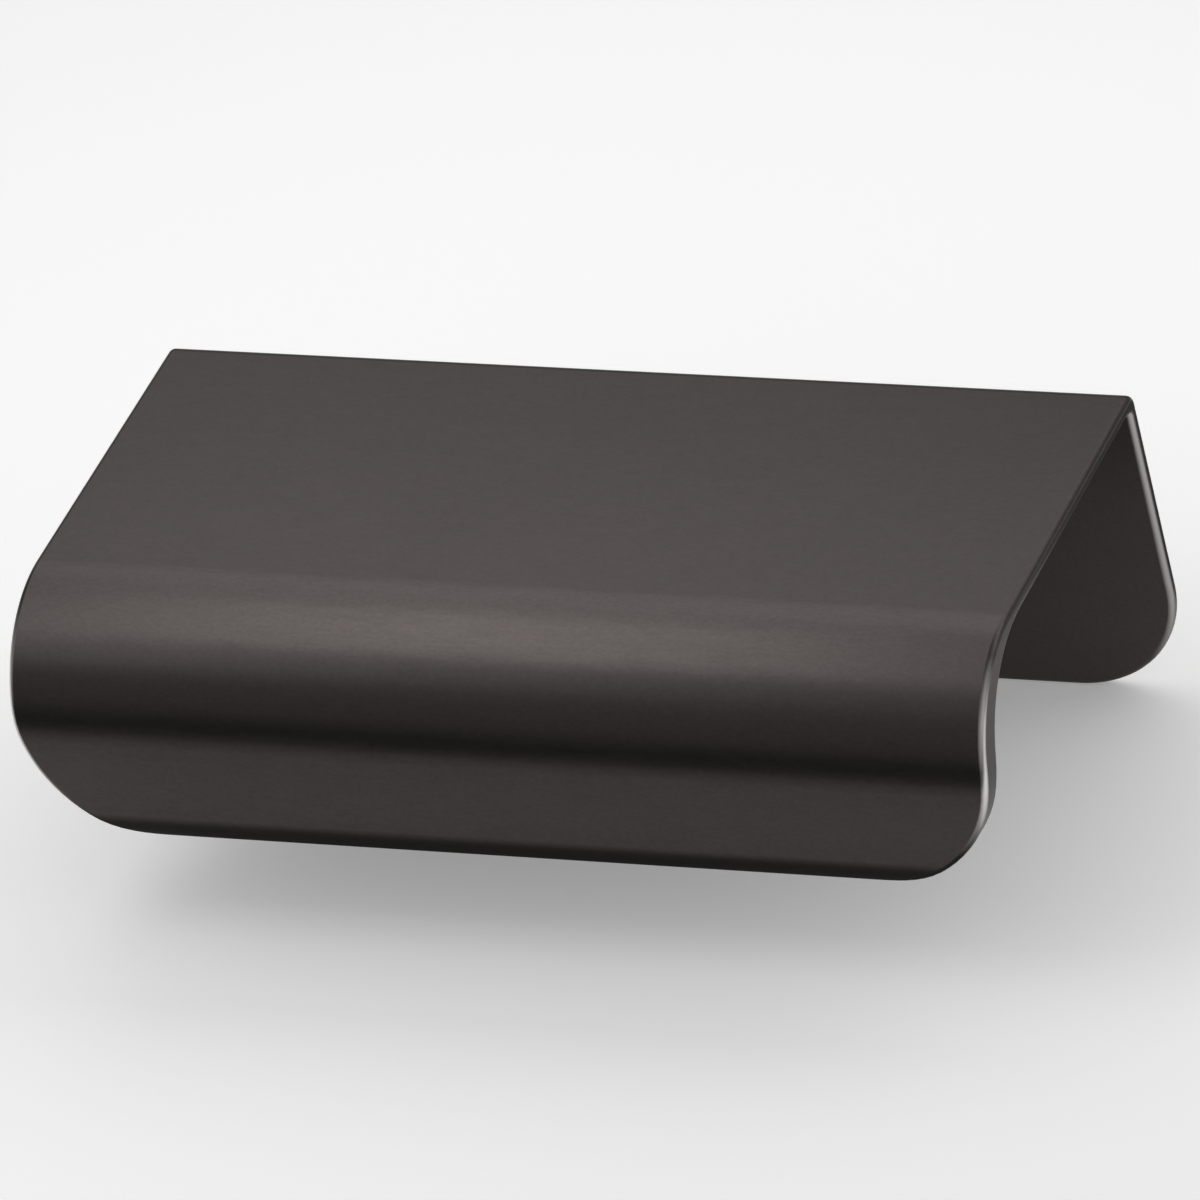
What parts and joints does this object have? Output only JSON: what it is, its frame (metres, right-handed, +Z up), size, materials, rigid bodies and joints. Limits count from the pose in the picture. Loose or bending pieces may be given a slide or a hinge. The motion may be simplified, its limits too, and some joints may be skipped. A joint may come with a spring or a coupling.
{
  "type": "tab pull",
  "caption": "Tab pull for the edge of a drawer front or door: a flat top plate, a thin screw leg hanging behind the panel and a curled finger lip in front, in dark satin metal.",
  "frame": {"origin": "midway between the two screw holes, on the face of the leg that lies against the back of the panel", "axes": "+Z up, +Y to the back of the panel (the leg's countersunk face looks along +Y, the finger lip stands in front at -Y), +X along the pull, to the right seen from the front"},
  "size_m": [0.08, 0.0382, 0.0275],
  "materials": {
    "anodised_metal": "satin anodised dark bronze, fine grain along the pull"
  },
  "bodies": {
    "root": {"pull_body": "anodised_metal"}
  },
  "joints": []
}
